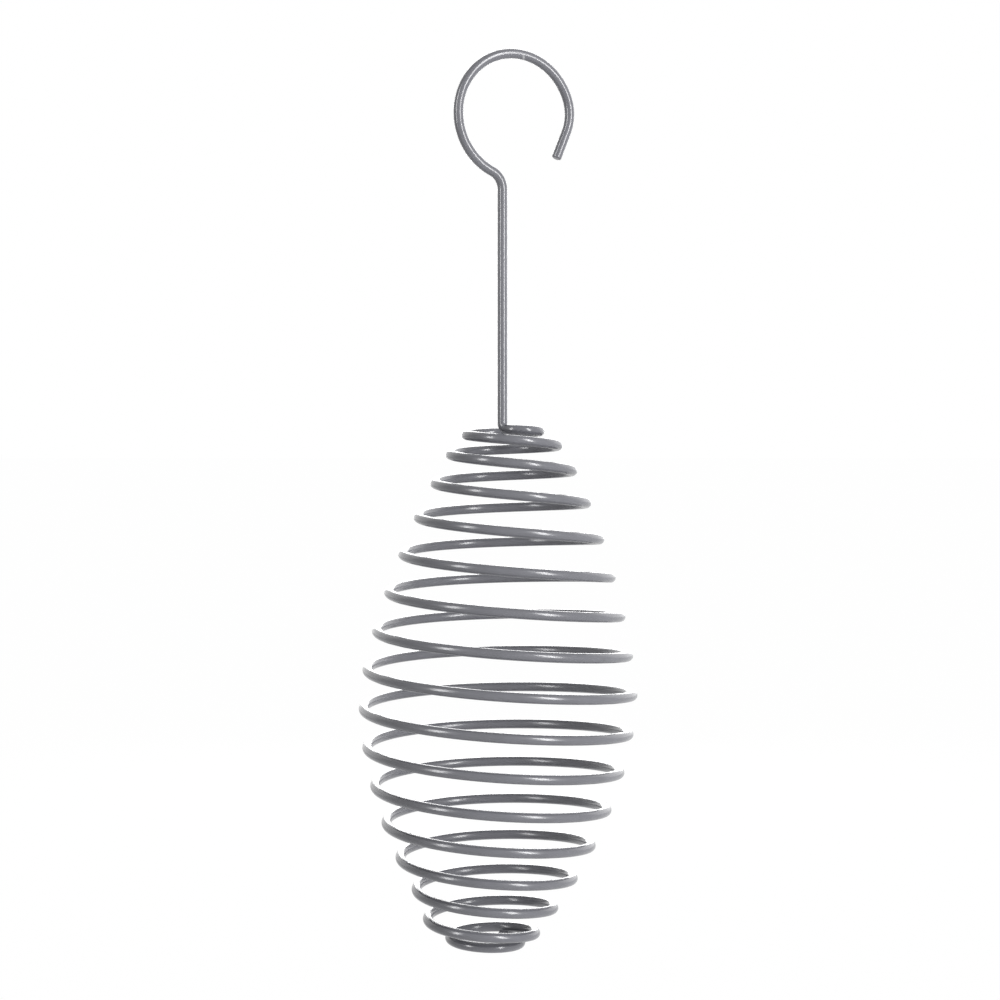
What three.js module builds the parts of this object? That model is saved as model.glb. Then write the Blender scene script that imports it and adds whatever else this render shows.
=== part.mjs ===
// Spring fat ball feeder: one coated steel wire, bent into a hanging hook, a straight stem,
// a neck turn, a barrel-shaped coil that holds the fat balls, and a small flat foot turn.
// Millimetres and degrees, +Z up, +X to the right and -Y towards the viewer.
// The origin is the inside of the hook's crown, where the feeder hangs on a branch or a bracket.
import * as THREE from 'three';

// Wire
const wireDiameter = 3.6;
const cutEndRounding = 0.5;

// Hook: a circle that starts at the crown and runs both ways, in an upright plane that is turned
// about the vertical, so that the tip lies further from the viewer than the stem
const hookInsideRadius = 20.9;
const hookSweepToTip = 70.4;
const tipCurlRadius = 17.3;
const tipCurlSweep = 42.2;
const tipLength = 10.8;
const hookSweepToStem = 155.9;
const stemBendRadius = 7.1;
const hookTurn = 25.3;

// Stem and neck
const stemLength = 85.0;
const neckBendInside = 0.8;
const neckHeading = 46;
const neckCurlRadius = 6.5;
const neckOffset = 4.35;

// Coil: a barrel that is widest at its waist, with its turns spaced wider at the middle than at the ends.
// Its first turns swell out of the barrel and lie a little to the left.
const coilTurns = 14.5;
const turnsAboveWaist = 7.62;
const middlePitch = 14.28;
const neckPitch = 5.11;
const neckPitchPower = 4;
const footPitch = 8.34;
const footPitchPower = 2.54;
const coilNeckRadius = 14.2;
const waistRadius = 49.2;
const swellAboveWaist = 1.42;
const swellBelowWaist = 1.78;
const footRounding = 1.29;
const neckSwell = 1.07;
const neckAside = 0.5;
const neckSwellTurns = 1.97;
const turnTilt = 1.46;
const coilDrift = 3.2;

// Foot turn, in which the barrel goes on inwards, levels out, springs out a little and ends in a cut.
// Just before it the wire swells out of the barrel for about half a turn.
const footTurns = 1.19;
const footRadius = 10.4;
const levellingPower = 1.7;
const tailSpring = 1.7;
const tailSpringPower = 3;
const footSwell = 3.4;
const footSwellTurns = 14.16;
const footSwellSpan = 0.23;

// Fineness of the solids
const wireSides = 10;
const stepsPerTurn = 24;
const stepsPerHookArc = 15;
const stepsPerBend = 6;

// Finish
const coatColour = 0x78797d;
const coatRoughness = 0.38;
const coatMetalness = 0.1;

// Worked out from the sizes above
const wireRadius = wireDiameter / 2;
const hookRadius = hookInsideRadius + wireRadius;
const neckBendRadius = neckBendInside + wireRadius;
const halfTurns = coilTurns / 2;
const wireTurns = coilTurns + footTurns;
const towardsViewer = new THREE.Vector3(0, -1, 0);
const up = new THREE.Vector3(0, 0, 1);
const down = new THREE.Vector3(0, 0, -1);
const radians = THREE.MathUtils.degToRad;

// Points along a circular bend, turning the heading by a sweep about an axis.
// The first point is the one that the bend starts from, and is left out.
function bend(start, heading, radius, sweep, axis, steps) {
  const towardsCentre = axis.clone().cross(heading).multiplyScalar(Math.sign(sweep));
  const centre = start.clone().addScaledVector(towardsCentre, radius);
  const points = [];
  for (let step = 1; step <= steps; step += 1) {
    const spoke = start.clone().sub(centre);
    spoke.applyAxisAngle(axis, (sweep * step) / steps);
    points.push(spoke.add(centre));
  }
  return { points, heading: heading.clone().applyAxisAngle(axis, sweep) };
}

// A chain of bends in the XZ plane, each given as a radius, a sweep and a step count.
// Sweeps are counted anticlockwise as the viewer sees them.
function hookChain(start, startHeading, bends) {
  const points = [start];
  let heading = startHeading;
  for (const [radius, sweep, steps] of bends) {
    const next = bend(points.at(-1), heading, radius, radians(sweep), towardsViewer, steps);
    points.push(...next.points);
    heading = next.heading;
  }
  return { points, heading };
}

// The hook's centre line, from the cut tip over the crown to the top of the stem
function hookLine() {
  const crown = new THREE.Vector3(0, 0, wireRadius);
  const tipSide = hookChain(crown, new THREE.Vector3(1, 0, 0), [
    [hookRadius, -hookSweepToTip, stepsPerHookArc],
    [tipCurlRadius, -tipCurlSweep, stepsPerBend],
  ]);
  const tipStart = tipSide.points.at(-1);
  const rounded = tipStart.clone().addScaledVector(tipSide.heading, tipLength - cutEndRounding);
  const tip = tipStart.clone().addScaledVector(tipSide.heading, tipLength);
  const stemSide = hookChain(crown, new THREE.Vector3(-1, 0, 0), [
    [hookRadius, hookSweepToStem, 2 * stepsPerHookArc],
    [stemBendRadius, 90 - hookSweepToStem, stepsPerBend],
  ]);
  const points = [tip, rounded, ...tipSide.points.reverse(), ...stemSide.points.slice(1)];
  return points.map((point) => point.applyAxisAngle(up, radians(hookTurn)));
}

// How far half of the coil comes down from its middle, over a share of its turns.
// The pitch falls off to the end's pitch with a power of that share.
function halfDepth(share, endPitch, power) {
  const widened = share - share ** (power + 1) / (power + 1);
  return halfTurns * (endPitch * share + (middlePitch - endPitch) * widened);
}

// The share of the foot turn that lies behind after a number of turns
function footShare(turns) {
  return Math.max(turns - coilTurns, 0) / footTurns;
}

// How far the wire has come down after a number of turns; the foot turn ends level
function coilDepth(turns) {
  const share = THREE.MathUtils.clamp(turns / halfTurns - 1, -1, 1);
  const middleDepth = halfDepth(1, neckPitch, neckPitchPower);
  if (share < 0) {
    return middleDepth - halfDepth(-share, neckPitch, neckPitchPower);
  }
  const levelled = (1 - (1 - footShare(turns)) ** (levellingPower + 1)) / (levellingPower + 1);
  return middleDepth + halfDepth(share, footPitch, footPitchPower) + footPitch * footTurns * levelled;
}

// How much of the first turns' swell is left after a number of turns
function neckShare(turns) {
  return 1 - THREE.MathUtils.smoothstep(turns, 0, neckSwellTurns);
}

// The wire's distance from the coil's axis after a number of turns
function coilRadius(turns) {
  if (turns < turnsAboveWaist) {
    const share = 1 - turns / turnsAboveWaist;
    const narrowed = (waistRadius - coilNeckRadius) * share ** swellAboveWaist;
    return waistRadius - narrowed + neckSwell * neckShare(turns);
  }
  const share = (turns - turnsAboveWaist) / (wireTurns - turnsAboveWaist);
  const kept = Math.max(1 - share ** swellBelowWaist, 0) ** footRounding;
  const swell = footSwell * Math.exp(-(((turns - footSwellTurns) / footSwellSpan) ** 2));
  const spring = tailSpring * footShare(turns) ** tailSpringPower;
  return footRadius + (waistRadius - footRadius) * kept + swell + spring;
}

// A place on the wire after a number of turns, from the axis at the top of the coil.
// Whole turns lie on the left, and the wire goes round by the viewer's side first.
function coilPlace(turns) {
  const angle = Math.PI + 2 * Math.PI * turns;
  const radius = coilRadius(turns);
  const depth = coilDepth(turns);
  const aside = (-coilDrift * depth) / coilDepth(coilTurns) - neckAside * neckShare(turns);
  return new THREE.Vector3(radius * Math.cos(angle) + aside, radius * Math.sin(angle), -depth);
}

// A flat spiral whose radius of curvature runs evenly from one value to another.
// It gives the place, seen from above, after a share of its sweep.
function curlPlace(startHeading, sweep, startRadius, endRadius, share) {
  const rate = (endRadius - startRadius) / sweep;
  const primitive = (heading, radius) => new THREE.Vector2(
    radius * Math.sin(heading) + rate * Math.cos(heading),
    rate * Math.sin(heading) - radius * Math.cos(heading),
  );
  const heading = startHeading + sweep * share;
  const radius = startRadius + (endRadius - startRadius) * share;
  return primitive(heading, radius).sub(primitive(startHeading, startRadius));
}

// The neck turn, in the coil's upright frame: a flat curl from the end of the neck bend out to
// the left side of the coil, where the wire heads towards the viewer
function neckCurl() {
  const startHeading = -radians(neckHeading);
  const growth = ((waistRadius - coilNeckRadius) * swellAboveWaist) / turnsAboveWaist;
  const flare = Math.atan2(growth, 2 * Math.PI * coilNeckRadius);
  const sweep = 1.5 * Math.PI - flare - startHeading;
  const turns = sweep / (2 * Math.PI);
  const drop = (neckPitch * turns) / 2;
  const steps = Math.round(turns * stepsPerTurn);
  const points = [];
  for (let step = 1; step <= steps; step += 1) {
    const share = step / steps;
    const place = curlPlace(startHeading, sweep, neckCurlRadius, coilNeckRadius, share);
    const aside = -neckOffset * THREE.MathUtils.smoothstep(share, 0, 1);
    points.push(new THREE.Vector3(place.x + aside, place.y, -drop * share ** 2));
  }
  return points;
}

// The coil, from its left side at the neck down to the foot turn
function coilLine(axisTop) {
  const steps = Math.round(coilTurns * stepsPerTurn);
  const points = [];
  for (let step = 1; step <= steps; step += 1) {
    points.push(coilPlace((coilTurns * step) / steps).add(axisTop));
  }
  return points;
}

// The foot turn, with a last point at which the rounding of its cut end starts
function footLine(axisTop) {
  const steps = Math.round(footTurns * stepsPerTurn);
  const turns = Array.from({ length: steps - 1 }, (_, index) => coilTurns + (footTurns * (index + 1)) / steps);
  const roundedTurns = wireTurns - cutEndRounding / (2 * Math.PI * coilRadius(wireTurns));
  return [...turns, roundedTurns, wireTurns].map((count) => coilPlace(count).add(axisTop));
}

// The whole wire as one centre line, in stretches that share their end points
function wireStretches() {
  const hook = hookLine();
  const stemTop = hook.at(-1);
  const stemFoot = stemTop.clone().addScaledVector(down, stemLength);
  const tilt = new THREE.Matrix4().makeRotationY(radians(turnTilt));
  const heading = radians(neckHeading);
  const neckStart = new THREE.Vector3(Math.cos(heading), -Math.sin(heading), 0).applyMatrix4(tilt);
  const bendAxis = down.clone().cross(neckStart).normalize();
  const neckBend = bend(stemFoot, down, neckBendRadius, down.angleTo(neckStart), bendAxis, stepsPerBend);
  const tilted = tilt.clone().setPosition(neckBend.points.at(-1));
  const placed = (points) => points.map((point) => point.clone().applyMatrix4(tilted));
  const curl = neckCurl();
  const axisTop = curl.at(-1).clone().sub(coilPlace(0));
  return [
    ['hook', hook],
    ['stem', [stemFoot]],
    ['neck_turn', [...neckBend.points, ...placed(curl)]],
    ['feeder_coil', placed(coilLine(axisTop))],
    ['foot_turn', placed(footLine(axisTop))],
  ];
}

// A ring of points square to the wire at each point of its centre line.
// The rings turn as little as they can from one to the next, so the wire isn't twisted.
function wireRings(line) {
  const rings = [];
  let side = towardsViewer.clone();
  line.forEach((point, index) => {
    const before = line[Math.max(index - 1, 0)];
    const after = line[Math.min(index + 1, line.length - 1)];
    const along = point.clone().sub(before).normalize().add(after.clone().sub(point).normalize()).normalize();
    side = side.clone().addScaledVector(along, -side.dot(along)).normalize();
    const other = along.clone().cross(side);
    const isCutEnd = index === 0 || index === line.length - 1;
    const radius = isCutEnd ? wireRadius - cutEndRounding : wireRadius;
    const ring = [];
    for (let corner = 0; corner < wireSides; corner += 1) {
      const angle = (2 * Math.PI * corner) / wireSides;
      const spoke = side.clone().multiplyScalar(radius * Math.cos(angle));
      spoke.addScaledVector(other, radius * Math.sin(angle));
      ring.push(spoke.add(point));
    }
    rings.push(ring);
  });
  return rings;
}

// A closed tube through a run of rings, with a flat disc on each end
function tubeGeometry(rings, startCentre, endCentre) {
  const corners = [...rings.flat(), startCentre, endCentre];
  const startIndex = corners.length - 2;
  const endIndex = corners.length - 1;
  const lastRing = (rings.length - 1) * wireSides;
  const faces = [];
  for (let corner = 0; corner < wireSides; corner += 1) {
    const next = (corner + 1) % wireSides;
    for (let first = 0; first < lastRing; first += wireSides) {
      const second = first + wireSides;
      faces.push(first + corner, first + next, second + corner);
      faces.push(first + next, second + next, second + corner);
    }
    faces.push(startIndex, next, corner);
    faces.push(endIndex, lastRing + corner, lastRing + next);
  }
  const geometry = new THREE.BufferGeometry().setFromPoints(corners);
  geometry.setIndex(faces);
  geometry.computeVertexNormals();
  return geometry;
}

// The least gap between two places on the wire that lie at least half a turn apart
function leastGap(line) {
  const apart = stepsPerTurn / 2;
  let least = Infinity;
  for (let first = 0; first < line.length; first += 1) {
    for (let second = first + apart; second < line.length; second += 1) {
      least = Math.min(least, line[first].distanceTo(line[second]));
    }
  }
  return least - wireDiameter;
}

// Build each stretch as its own solid; neighbours share the ring where they meet
const feeder = new THREE.Group();
const stretches = wireStretches();
const line = stretches.flatMap(([, points]) => points);
const rings = wireRings(line);
let last = 0;
for (const [name, points] of stretches) {
  const first = Math.max(last - 1, 0);
  last += points.length;
  const geometry = tubeGeometry(rings.slice(first, last), line[first], line[last - 1]);
  const coat = new THREE.MeshStandardMaterial({
    color: coatColour,
    roughness: coatRoughness,
    metalness: coatMetalness,
  });
  const mesh = new THREE.Mesh(geometry, coat);
  mesh.name = name;
  feeder.add(mesh);
}

const coilPoints = stretches.slice(2).flatMap(([, points]) => points);
console.log(`least gap of the coil to itself: ${leastGap(coilPoints).toFixed(2)} mm`);

export default feeder;
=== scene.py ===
import math

import bmesh
import bpy
from mathutils import Matrix, Vector


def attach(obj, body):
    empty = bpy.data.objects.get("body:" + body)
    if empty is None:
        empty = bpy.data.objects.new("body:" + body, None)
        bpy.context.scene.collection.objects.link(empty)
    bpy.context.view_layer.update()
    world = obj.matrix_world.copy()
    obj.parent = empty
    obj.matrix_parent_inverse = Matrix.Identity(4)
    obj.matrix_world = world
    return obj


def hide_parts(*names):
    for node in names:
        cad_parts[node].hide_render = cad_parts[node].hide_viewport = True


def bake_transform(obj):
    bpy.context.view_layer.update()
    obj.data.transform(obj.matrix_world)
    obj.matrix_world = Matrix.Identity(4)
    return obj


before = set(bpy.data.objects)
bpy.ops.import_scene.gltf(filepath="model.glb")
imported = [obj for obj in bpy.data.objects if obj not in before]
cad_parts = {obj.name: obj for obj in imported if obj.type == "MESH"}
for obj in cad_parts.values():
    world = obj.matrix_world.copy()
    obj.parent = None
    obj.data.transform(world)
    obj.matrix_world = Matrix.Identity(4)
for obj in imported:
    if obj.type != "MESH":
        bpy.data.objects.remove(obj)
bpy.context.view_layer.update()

MM = 0.001
FULL_TURN = 2 * math.pi
QUARTER_TURN = math.pi / 2

# Directions
RIGHT = Vector((1, 0, 0))
LEFT = Vector((-1, 0, 0))
TOWARDS_VIEWER = Vector((0, -1, 0))
UP = Vector((0, 0, 1))
DOWN = Vector((0, 0, -1))

# Hook, in millimetres and degrees, with the same sizes as the solids
WIRE_RADIUS = 1.8
HOOK_RADIUS = 22.7
HOOK_SWEEP_TO_TIP = 70.4
TIP_CURL_RADIUS = 17.3
TIP_CURL_SWEEP = 42.2
TIP_LENGTH = 10.8
HOOK_SWEEP_TO_STEM = 155.9
SWEEP_TO_STRAIGHT_DOWN = 90
STEM_BEND_RADIUS = 7.1
HOOK_TURN = 25.3

# Stem and neck turn, in millimetres and degrees
STEM_LENGTH = 85.0
NECK_BEND_RADIUS = 2.6
NECK_HEADING = 46
NECK_CURL_RADIUS = 6.5
NECK_OFFSET = 4.35

# Coil, in millimetres, degrees and turns, with the powers by which its pitch and radius change
COIL_TURNS = 14.5
COIL_START_ANGLE = math.pi
TURNS_ABOVE_WAIST = 7.62
MIDDLE_PITCH = 14.28
NECK_PITCH = 5.11
NECK_PITCH_POWER = 4
FOOT_PITCH = 8.34
FOOT_PITCH_POWER = 2.54
COIL_NECK_RADIUS = 14.2
WAIST_RADIUS = 49.2
SWELL_ABOVE_WAIST = 1.42
SWELL_BELOW_WAIST = 1.78
FOOT_ROUNDING = 1.29
NECK_SWELL = 1.07
NECK_ASIDE = 0.5
NECK_SWELL_TURNS = 1.97
TURN_TILT = 1.46
COIL_DRIFT = 3.2
HALF_TURNS = COIL_TURNS / 2

# Foot turn, in millimetres and turns
FOOT_TURNS = 1.19
FOOT_RADIUS = 10.4
LEVELLING_POWER = 1.7
TAIL_SPRING = 1.7
TAIL_SPRING_POWER = 3
FOOT_SWELL = 3.4
FOOT_SWELL_TURNS = 14.16
FOOT_SWELL_SPAN = 0.23
WIRE_TURNS = COIL_TURNS + FOOT_TURNS

# Fineness of the drawn wire, and the rounding of its cut ends in millimetres
WIRE_SIDES = 32
STEPS_PER_TURN = 96
STEPS_PER_STEM = 24
LEAST_BEND_STEPS = 6
CUT_ROUNDING = 0.55
CUT_RINGS = 6
CAP_ANGLE = 1.0

# Coat: each noise by its scale per metre and its detail, and the band of it that is used
COAT_DARK = (0.143, 0.1445, 0.162)
COAT_LIGHT = (0.163, 0.1645, 0.185)
COAT_IOR = 1.6
COAT_ROUGHNESS = (0.2, 0.24)
NOISE_BAND = (0.3, 0.7)
TONE_NOISE = (110.0, 4.0)
GLOSS_NOISE = (420.0, 2.0)
PEEL_NOISE = (900.0, 1.0)
PEEL_STRENGTH = 0.012
PEEL_DEPTH = 0.00005

# Rub mark: its place along the hook, its lean, its half width and the heights over which it fades
RUB_PLACE = 3.1
RUB_SLANT = 0.5
RUB_HALF_WIDTH = 0.55
RUB_FADES_IN = (-3.0, -2.0)
RUB_FADES_OUT = (0.9, 1.9)
RUB_NOISE = (2500.0, 2.0)
RUB_COLOUR = (0.62, 0.62, 0.63)
RUB_ROUGHNESS = 0.6

# White ground: a floor well below the feeder and a surround. The ground share is how much of the
# floor shows as plain white, and the rest takes the shadow. The lights are what both give the feeder.
FLOOR_DEPTH = 0.62
FLOOR_HALF = 60.0
FLOOR_COLOUR = (0.8, 0.8, 0.8)
GROUND_SHARE = 0.992
FLOOR_LIGHT = 0.35
SURROUND_LIGHT = 0.22
WHITE = (1, 1, 1, 1)

# Lamps by azimuth from the camera's side to the right, with sizes in metres and power in watts.
# The right one lights the feeder, the left one only shows in its gloss, and those behind it
# light its sides and back.
LIGHT_DISTANCE = 2.5
LIGHT_HEIGHT = 0.65
LIGHT_AIM = Vector((0, 0, -0.16))
LIGHTS = {
    "right_lamp": {"azimuth": 45, "width": 0.6, "height": 2.1, "power": 66, "lights_all": True},
    "left_lamp": {"azimuth": -49, "width": 0.55, "height": 2.1, "power": 42, "lights_all": False},
    "right_rear_lamp": {"azimuth": 143, "width": 2.5, "height": 2.0, "power": 11, "lights_all": True},
    "left_rear_lamp": {"azimuth": -143, "width": 2.5, "height": 2.0, "power": 8, "lights_all": True},
    "rear_lamp": {"azimuth": 180, "width": 1.2, "height": 2.0, "power": 38, "lights_all": True},
}

# Camera level with the neck of the coil, at the photograph's angle
PICTURE_PIXELS = 1000
FOCAL_PIXELS = 2299
AXIS_ROW = 440
SENSOR = 36.0
CAMERA_PLACE = (-0.00546, -0.84117, -0.13953)
CLIP_START = 0.01

# Node trees: ranges of a factor, and the room for a node in the editor
RISING = (0.0, 1.0)
FALLING = (1.0, 0.0)
COLUMN_WIDTH = 250
ROW_HEIGHT = 300


def smoothstep(share):
    """A share from 0 to 1 that starts and ends gently."""
    return share * share * (3 - 2 * share)


def bend(start, heading, radius, sweep, axis):
    """Points along a circular bend after its start, and the heading at its end."""
    steps = max(LEAST_BEND_STEPS, round(abs(sweep) / FULL_TURN * STEPS_PER_TURN))
    towards_centre = axis.cross(heading) * math.copysign(1, sweep)
    centre = start + towards_centre * radius
    points = []
    for step in range(1, steps + 1):
        turn = Matrix.Rotation(sweep * step / steps, 3, axis)
        points.append(centre + turn @ (start - centre))
    return points, Matrix.Rotation(sweep, 3, axis) @ heading


def hook_chain(start, heading, bends):
    """A chain of bends in the XZ plane, as points and the last heading."""
    points = [start]
    for radius, sweep in bends:
        more, heading = bend(points[-1], heading, radius, math.radians(sweep), TOWARDS_VIEWER)
        points += more
    return points, heading


def hook_line():
    """The hook from its cut tip over the crown to the top of the stem."""
    crown = Vector((0, 0, WIRE_RADIUS))
    tip_side, heading = hook_chain(crown, RIGHT, [
        (HOOK_RADIUS, -HOOK_SWEEP_TO_TIP),
        (TIP_CURL_RADIUS, -TIP_CURL_SWEEP),
    ])
    tip = tip_side[-1] + heading * TIP_LENGTH
    stem_side, _ = hook_chain(crown, LEFT, [
        (HOOK_RADIUS, HOOK_SWEEP_TO_STEM),
        (STEM_BEND_RADIUS, SWEEP_TO_STRAIGHT_DOWN - HOOK_SWEEP_TO_STEM),
    ])
    turn = Matrix.Rotation(math.radians(HOOK_TURN), 3, UP)
    return [turn @ point for point in [tip, *reversed(tip_side), *stem_side[1:]]]


def half_depth(share, end_pitch, power):
    """How far half of the coil comes down from its middle, over a share of its turns."""
    widened = share - share ** (power + 1) / (power + 1)
    return HALF_TURNS * (end_pitch * share + (MIDDLE_PITCH - end_pitch) * widened)


def foot_share(turns):
    """The share of the foot turn that lies behind after a number of turns."""
    return max(turns - COIL_TURNS, 0) / FOOT_TURNS


def coil_depth(turns):
    """How far the wire has come down after a number of turns; the foot turn ends level."""
    share = min(turns / HALF_TURNS - 1, 1)
    middle_depth = half_depth(1, NECK_PITCH, NECK_PITCH_POWER)
    if share < 0:
        return middle_depth - half_depth(-share, NECK_PITCH, NECK_PITCH_POWER)
    left = max(1 - foot_share(turns), 0)
    levelled = (1 - left ** (LEVELLING_POWER + 1)) / (LEVELLING_POWER + 1)
    foot_depth = FOOT_PITCH * FOOT_TURNS * levelled
    return middle_depth + half_depth(share, FOOT_PITCH, FOOT_PITCH_POWER) + foot_depth


def neck_share(turns):
    """How much of the first turns' swell is left after a number of turns."""
    return 1 - smoothstep(min(turns / NECK_SWELL_TURNS, 1))


def coil_radius(turns):
    """The wire's distance from the coil's axis after a number of turns."""
    if turns < TURNS_ABOVE_WAIST:
        share = 1 - turns / TURNS_ABOVE_WAIST
        narrowed = (WAIST_RADIUS - COIL_NECK_RADIUS) * share**SWELL_ABOVE_WAIST
        return WAIST_RADIUS - narrowed + NECK_SWELL * neck_share(turns)
    share = (turns - TURNS_ABOVE_WAIST) / (WIRE_TURNS - TURNS_ABOVE_WAIST)
    kept = max(1 - share**SWELL_BELOW_WAIST, 0) ** FOOT_ROUNDING
    swell = FOOT_SWELL * math.exp(-(((turns - FOOT_SWELL_TURNS) / FOOT_SWELL_SPAN) ** 2))
    spring = TAIL_SPRING * foot_share(turns) ** TAIL_SPRING_POWER
    return FOOT_RADIUS + (WAIST_RADIUS - FOOT_RADIUS) * kept + swell + spring


def coil_place(turns):
    """A place on the wire after a number of turns, from the axis at the top of the coil."""
    angle = COIL_START_ANGLE + FULL_TURN * turns
    radius = coil_radius(turns)
    depth = coil_depth(turns)
    aside = -COIL_DRIFT * depth / coil_depth(COIL_TURNS) - NECK_ASIDE * neck_share(turns)
    return Vector((radius * math.cos(angle) + aside, radius * math.sin(angle), -depth))


def curl_place(start_heading, sweep, start_radius, end_radius, share):
    """The place on a flat spiral whose radius of curvature changes evenly."""
    rate = (end_radius - start_radius) / sweep

    def primitive(heading, radius):
        """The spiral's place by its heading, from a point of its own."""
        return Vector((
            radius * math.sin(heading) + rate * math.cos(heading),
            rate * math.sin(heading) - radius * math.cos(heading),
        ))

    radius = start_radius + (end_radius - start_radius) * share
    return primitive(start_heading + sweep * share, radius) - primitive(start_heading, start_radius)


def neck_curl():
    """The flat curl from the end of the neck bend out to the left side of the coil."""
    start_heading = -math.radians(NECK_HEADING)
    growth = (WAIST_RADIUS - COIL_NECK_RADIUS) * SWELL_ABOVE_WAIST / TURNS_ABOVE_WAIST
    flare = math.atan2(growth, FULL_TURN * COIL_NECK_RADIUS)
    sweep = COIL_START_ANGLE + QUARTER_TURN - flare - start_heading
    turns = sweep / FULL_TURN
    drop = NECK_PITCH * turns / 2
    steps = round(turns * STEPS_PER_TURN)
    points = []
    for step in range(1, steps + 1):
        share = step / steps
        place = curl_place(start_heading, sweep, NECK_CURL_RADIUS, COIL_NECK_RADIUS, share)
        aside = -NECK_OFFSET * smoothstep(share)
        points.append(Vector((place.x + aside, place.y, -drop * share**2)))
    return points


def coil_line(axis_top, start_turns, end_turns):
    """The coil's wire from one number of turns to another."""
    steps = round((end_turns - start_turns) * STEPS_PER_TURN)
    span = (end_turns - start_turns) / steps
    return [axis_top + coil_place(start_turns + span * step) for step in range(1, steps + 1)]


def wire_stretches():
    """Each stretch of the wire as points that start where the one before ends."""
    hook = hook_line()
    stem_top = hook[-1]
    stem_foot = stem_top + DOWN * STEM_LENGTH
    stem = [stem_top.lerp(stem_foot, step / STEPS_PER_STEM) for step in range(1, STEPS_PER_STEM + 1)]
    tilt = Matrix.Rotation(math.radians(TURN_TILT), 3, "Y")
    heading = math.radians(NECK_HEADING)
    neck_start = tilt @ Vector((math.cos(heading), -math.sin(heading), 0))
    bend_axis = DOWN.cross(neck_start).normalized()
    neck_bend, _ = bend(stem_foot, DOWN, NECK_BEND_RADIUS, DOWN.angle(neck_start), bend_axis)
    curl = neck_curl()
    axis_top = curl[-1] - coil_place(0)
    coil = coil_line(axis_top, 0, COIL_TURNS)
    foot = coil_line(axis_top, COIL_TURNS, WIRE_TURNS)

    def placed(points):
        """Points of the coil, tilted and set at the end of the neck bend."""
        return [neck_bend[-1] + tilt @ point for point in points]

    return {
        "hook": hook,
        "stem": stem,
        "neck_turn": neck_bend + placed(curl),
        "feeder_coil": placed(coil),
        "foot_turn": placed(foot),
    }


def wire_spokes(line):
    """Each point of a line, two spokes across it and its heading; the spokes turn as little as they can."""
    spokes = []
    side = TOWARDS_VIEWER.copy()
    for index, point in enumerate(line):
        before = line[max(index - 1, 0)]
        after = line[min(index + 1, len(line) - 1)]
        along = ((point - before).normalized() + (after - point).normalized()).normalized()
        side = (side - along * side.dot(along)).normalized()
        spokes.append((point, side.copy(), along.cross(side), along))
    return spokes


def cut_end(end_spokes, outwards):
    """Rings that round off a cut end, from the last full ring to the flat of the cut."""
    point, side, other, along = end_spokes
    rings = []
    for step in range(CUT_RINGS + 1):
        angle = QUARTER_TURN * step / CUT_RINGS
        inset = CUT_ROUNDING * (1 - math.cos(angle))
        forward = CUT_ROUNDING * (math.sin(angle) - 1)
        rings.append((point + along * (outwards * forward), side, other, WIRE_RADIUS - inset))
    return rings


def add_object(name, data):
    """A new object in the scene."""
    added = bpy.data.objects.new(name, data)
    bpy.context.scene.collection.objects.link(added)
    return added


def wire_piece(name, rings):
    """A closed tube through rings of given centre, spokes and radius."""
    shape = bmesh.new()
    loops = []
    for centre, side, other, radius in rings:
        loop = []
        for corner in range(WIRE_SIDES):
            angle = FULL_TURN * corner / WIRE_SIDES
            spoke = side * (radius * math.cos(angle)) + other * (radius * math.sin(angle))
            loop.append(shape.verts.new((centre + spoke) * MM))
        loops.append(loop)
    for first, second in zip(loops, loops[1:]):
        for corner in range(WIRE_SIDES):
            after = (corner + 1) % WIRE_SIDES
            shape.faces.new((first[corner], first[after], second[after], second[corner])).smooth = True
    for end in (list(reversed(loops[0])), loops[-1]):
        for edge in shape.faces.new(end).edges:
            edge.smooth = False
    bmesh.ops.recalc_face_normals(shape, faces=shape.faces)
    mesh = bpy.data.meshes.new(name)
    shape.to_mesh(mesh)
    shape.free()
    return add_object(name, mesh)


def line_piece(name, points, tree):
    """A piece whose mesh is the wire's centre line, drawn as round wire."""
    mesh = bpy.data.meshes.new(name)
    edges = [(index, index + 1) for index in range(len(points) - 1)]
    mesh.from_pydata([point * MM for point in points], edges, [])
    piece = add_object(name, mesh)
    piece.modifiers.new("round_wire", "NODES").node_group = tree
    return piece


def empty_tree(owner):
    """The node tree of a material or world, with nothing in it."""
    owner.use_nodes = True
    owner.node_tree.nodes.clear()
    return owner.node_tree


def arrange(tree):
    """Set the nodes out in columns, each to the left of the nodes that it feeds."""
    columns = {node.name: 0 for node in tree.nodes}
    for _ in tree.nodes:
        for link in tree.links:
            source = link.from_node.name
            columns[source] = max(columns[source], columns[link.to_node.name] + 1)
    rows = {}
    for node in tree.nodes:
        column = columns[node.name]
        row = rows.get(column, 0)
        rows[column] = row + 1
        node.location = (-column * COLUMN_WIDTH, -row * ROW_HEIGHT)


def add_node(tree, kind, **values):
    """A node of a kind, with some of its properties set."""
    node = tree.nodes.new(kind)
    for key, value in values.items():
        setattr(node, key, value)
    return node


def add_noise(tree, place, scale, detail):
    """A noise texture over a coordinate, with its value as the result."""
    noise = add_node(tree, "ShaderNodeTexNoise")
    noise.inputs["Scale"].default_value = scale
    noise.inputs["Detail"].default_value = detail
    tree.links.new(place, noise.inputs["Vector"])
    return noise.outputs["Fac"]


def add_range(tree, value, from_range, to_range):
    """A value carried from one range to another, kept inside the second."""
    node = add_node(tree, "ShaderNodeMapRange", clamp=True)
    for label, limits in (("From", from_range), ("To", to_range)):
        node.inputs[label + " Min"].default_value = limits[0]
        node.inputs[label + " Max"].default_value = limits[1]
    tree.links.new(value, node.inputs["Value"])
    return node.outputs["Result"]


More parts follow.
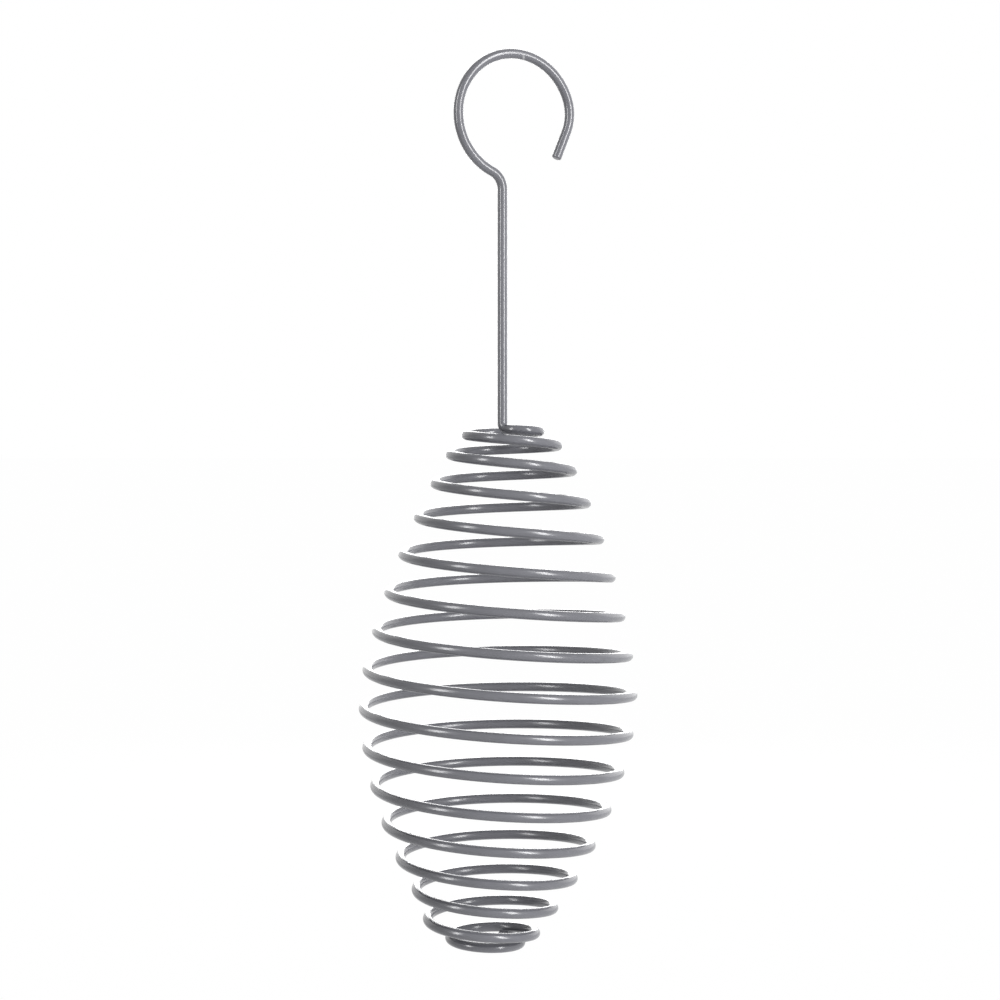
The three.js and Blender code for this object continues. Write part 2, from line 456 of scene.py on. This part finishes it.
def add_math(tree, operation, first, second):
    """An operation on two sockets, or on a socket and a number."""
    node = add_node(tree, "ShaderNodeMath", operation=operation)
    tree.links.new(first, node.inputs[0])
    if isinstance(second, float):
        node.inputs[1].default_value = second
    else:
        tree.links.new(second, node.inputs[1])
    return node.outputs[0]


def rub_mark(tree, place):
    """A factor that is 1 on the short slanted rub mark under the hook's crown."""
    turn = math.radians(HOOK_TURN)
    along = add_node(tree, "ShaderNodeVectorMath", operation="DOT_PRODUCT")
    along.inputs[1].default_value = (math.cos(turn), math.sin(turn), RUB_SLANT)
    tree.links.new(place, along.inputs[0])
    offset = add_math(tree, "SUBTRACT", along.outputs["Value"], RUB_PLACE * MM)
    aside = add_math(tree, "MULTIPLY", offset, offset)
    near = add_range(tree, aside, (0.0, (RUB_HALF_WIDTH * MM) ** 2), FALLING)
    split = add_node(tree, "ShaderNodeSeparateXYZ")
    tree.links.new(place, split.inputs[0])
    height = split.outputs["Z"]
    under = add_range(tree, height, [limit * MM for limit in RUB_FADES_OUT], FALLING)
    crown = add_range(tree, height, [limit * MM for limit in RUB_FADES_IN], RISING)
    return add_math(tree, "MULTIPLY", near, add_math(tree, "MULTIPLY", under, crown))


def coat_material():
    """Semi-gloss grey powder coat, with a fine orange peel, uneven tone and a rubbed hook seat."""
    material = bpy.data.materials.new("coated_wire")
    tree = empty_tree(material)
    link = tree.links.new
    output = add_node(tree, "ShaderNodeOutputMaterial")
    shader = add_node(tree, "ShaderNodeBsdfPrincipled")
    link(shader.outputs["BSDF"], output.inputs["Surface"])
    shader.inputs["IOR"].default_value = COAT_IOR
    place = add_node(tree, "ShaderNodeTexCoord").outputs["Object"]
    rub = add_math(tree, "MULTIPLY", rub_mark(tree, place), add_noise(tree, place, *RUB_NOISE))

    tone = add_node(tree, "ShaderNodeValToRGB")
    for stop, position, colour in zip(tone.color_ramp.elements, NOISE_BAND, (COAT_DARK, COAT_LIGHT)):
        stop.position = position
        stop.color = (*colour, 1)
    link(add_noise(tree, place, *TONE_NOISE), tone.inputs["Fac"])
    worn = add_node(tree, "ShaderNodeMix", data_type="RGBA")
    link(rub, worn.inputs["Factor"])
    link(tone.outputs["Color"], worn.inputs["A"])
    worn.inputs["B"].default_value = (*RUB_COLOUR, 1)
    link(worn.outputs["Result"], shader.inputs["Base Color"])

    gloss = add_range(tree, add_noise(tree, place, *GLOSS_NOISE), NOISE_BAND, COAT_ROUGHNESS)
    dulled = add_math(tree, "MAXIMUM", gloss, add_math(tree, "MULTIPLY", rub, RUB_ROUGHNESS))
    link(dulled, shader.inputs["Roughness"])

    bump = add_node(tree, "ShaderNodeBump")
    bump.inputs["Strength"].default_value = PEEL_STRENGTH
    bump.inputs["Distance"].default_value = PEEL_DEPTH
    link(add_noise(tree, place, *PEEL_NOISE), bump.inputs["Height"])
    link(bump.outputs["Normal"], shader.inputs["Normal"])
    arrange(tree)
    return material


def round_wire_nodes(material):
    """Geometry nodes that draw round wire along the edges of a mesh, so that it stays round as they move."""
    tree = bpy.data.node_groups.new("round_wire", "GeometryNodeTree")
    tree.interface.new_socket("Geometry", in_out="INPUT", socket_type="NodeSocketGeometry")
    tree.interface.new_socket("Geometry", in_out="OUTPUT", socket_type="NodeSocketGeometry")
    link = tree.links.new
    start = add_node(tree, "NodeGroupInput")
    curve = add_node(tree, "GeometryNodeMeshToCurve")
    circle = add_node(tree, "GeometryNodeCurvePrimitiveCircle", mode="RADIUS")
    circle.inputs["Resolution"].default_value = WIRE_SIDES
    circle.inputs["Radius"].default_value = WIRE_RADIUS * MM
    sweep = add_node(tree, "GeometryNodeCurveToMesh")
    sweep.inputs["Fill Caps"].default_value = True
    smooth = add_node(tree, "GeometryNodeSetShadeSmooth")
    angle = add_node(tree, "GeometryNodeInputMeshEdgeAngle")
    steep = add_node(tree, "FunctionNodeCompare", operation="GREATER_THAN")
    steep.inputs["B"].default_value = CAP_ANGLE
    flat_ends = add_node(tree, "GeometryNodeSetShadeSmooth", domain="EDGE")
    flat_ends.inputs["Shade Smooth"].default_value = False
    coated = add_node(tree, "GeometryNodeSetMaterial")
    coated.inputs["Material"].default_value = material
    end = add_node(tree, "NodeGroupOutput")
    link(start.outputs[0], curve.inputs["Mesh"])
    link(curve.outputs["Curve"], sweep.inputs["Curve"])
    link(circle.outputs["Curve"], sweep.inputs["Profile Curve"])
    link(sweep.outputs["Mesh"], smooth.inputs["Geometry"])
    link(angle.outputs["Unsigned Angle"], steep.inputs["A"])
    link(steep.outputs["Result"], flat_ends.inputs["Selection"])
    link(smooth.outputs["Geometry"], flat_ends.inputs["Geometry"])
    link(flat_ends.outputs["Geometry"], coated.inputs["Geometry"])
    link(coated.outputs["Geometry"], end.inputs[0])
    arrange(tree)
    return tree


def seen_directly(tree):
    """A factor that is 1 for rays from the camera and for those by way of gloss or glass."""
    path = add_node(tree, "ShaderNodeLightPath").outputs
    seen = add_math(tree, "MAXIMUM", path["Is Camera Ray"], path["Is Glossy Ray"])
    return add_math(tree, "MAXIMUM", seen, path["Is Transmission Ray"])


def mix_to_output(tree, output_kind, factor, first, second):
    """Lead the mix of two shaders to a new output; the factor is the share of the second."""
    mix = add_node(tree, "ShaderNodeMixShader")
    output = add_node(tree, output_kind)
    tree.links.new(factor, mix.inputs["Fac"])
    tree.links.new(first, mix.inputs[1])
    tree.links.new(second, mix.inputs[2])
    tree.links.new(mix.outputs["Shader"], output.inputs["Surface"])
    arrange(tree)


def white_floor():
    """A floor that shows as plain white but for a trace of shadow."""
    material = bpy.data.materials.new("white_floor")
    tree = empty_tree(material)
    matt = add_node(tree, "ShaderNodeBsdfDiffuse")
    matt.inputs["Color"].default_value = (*FLOOR_COLOUR, 1)
    glow = add_node(tree, "ShaderNodeEmission")
    share = add_range(tree, seen_directly(tree), RISING, (FLOOR_LIGHT, GROUND_SHARE))
    mix_to_output(tree, "ShaderNodeOutputMaterial", share, matt.outputs["BSDF"], glow.outputs["Emission"])
    mesh = bpy.data.meshes.new("floor")
    corners = [
        (x * FLOOR_HALF, y * FLOOR_HALF, -FLOOR_DEPTH)
        for x, y in ((-1, -1), (1, -1), (1, 1), (-1, 1))
    ]
    mesh.from_pydata(corners, [], [(0, 1, 2, 3)])
    mesh.materials.append(material)
    floor = add_object("floor", mesh)


def white_surround():
    """A surround that shows as plain white and lights the feeder weakly."""
    world = bpy.data.worlds.new("white_surround")
    tree = empty_tree(world)
    shades = []
    for strength in (SURROUND_LIGHT, 1.0):
        shade = add_node(tree, "ShaderNodeBackground")
        shade.inputs["Color"].default_value = WHITE
        shade.inputs["Strength"].default_value = strength
        shades.append(shade.outputs["Background"])
    mix_to_output(tree, "ShaderNodeOutputWorld", seen_directly(tree), *shades)
    bpy.context.scene.world = world


def soft_box(name, azimuth, width, height, power, lights_all):
    """A soft box that faces the feeder, and that lights it or only shows in its gloss."""
    lamp = bpy.data.lights.new(name, "AREA")
    lamp.shape = "RECTANGLE"
    lamp.size = width
    lamp.size_y = height
    lamp.energy = power
    box = add_object(name, lamp)
    box.visible_camera = False
    box.visible_diffuse = lights_all
    angle = math.radians(azimuth)
    box.location = (LIGHT_DISTANCE * math.sin(angle), -LIGHT_DISTANCE * math.cos(angle), LIGHT_HEIGHT)
    aim = LIGHT_AIM - box.location
    box.rotation_euler = aim.to_track_quat("-Z", "Y").to_euler()


def level_camera():
    """A level camera, with the picture shifted so that its axis meets the photograph's axis row."""
    camera_data = bpy.data.cameras.new("camera")
    camera_data.sensor_width = SENSOR
    camera_data.lens = SENSOR * FOCAL_PIXELS / PICTURE_PIXELS
    camera_data.shift_y = (AXIS_ROW - PICTURE_PIXELS / 2) / PICTURE_PIXELS
    camera_data.clip_start = CLIP_START
    camera = add_object("camera", camera_data)
    camera.location = CAMERA_PLACE
    camera.rotation_euler = (QUARTER_TURN, 0, 0)
    bpy.context.scene.camera = camera


# The wire's pieces, each in the place of its solid
stretches = wire_stretches()
whole_line = [point for stretch in stretches.values() for point in stretch]
spokes = wire_spokes(whole_line)
coat = coat_material()
last = 0
pieces = {}
for name, stretch in stretches.items():
    first = max(last - 1, 0)
    last += len(stretch)
    if name == "feeder_coil":
        pieces[name] = line_piece("coil_wire", whole_line[first:last], round_wire_nodes(coat))
    else:
        rings = [(point, side, other, WIRE_RADIUS) for point, side, other, _ in spokes[first:last]]
        if name == "hook":
            rings = list(reversed(cut_end(spokes[0], -1))) + rings[1:]
        if name == "foot_turn":
            rings = rings[:-1] + cut_end(spokes[-1], 1)
        pieces[name] = wire_piece(name + "_wire", rings)
    pieces[name].data.materials.append(coat)

for name in ("hook", "stem", "neck_turn"):
    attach(pieces[name], "hanger")
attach(pieces["foot_turn"], "foot")
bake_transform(pieces["feeder_coil"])
for name, piece in pieces.items():
    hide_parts(name)

# The ground, the lamps and the camera
white_floor()
white_surround()
for light_name, values in LIGHTS.items():
    soft_box(light_name, **values)
level_camera()
bpy.context.scene.view_settings.view_transform = "Standard"
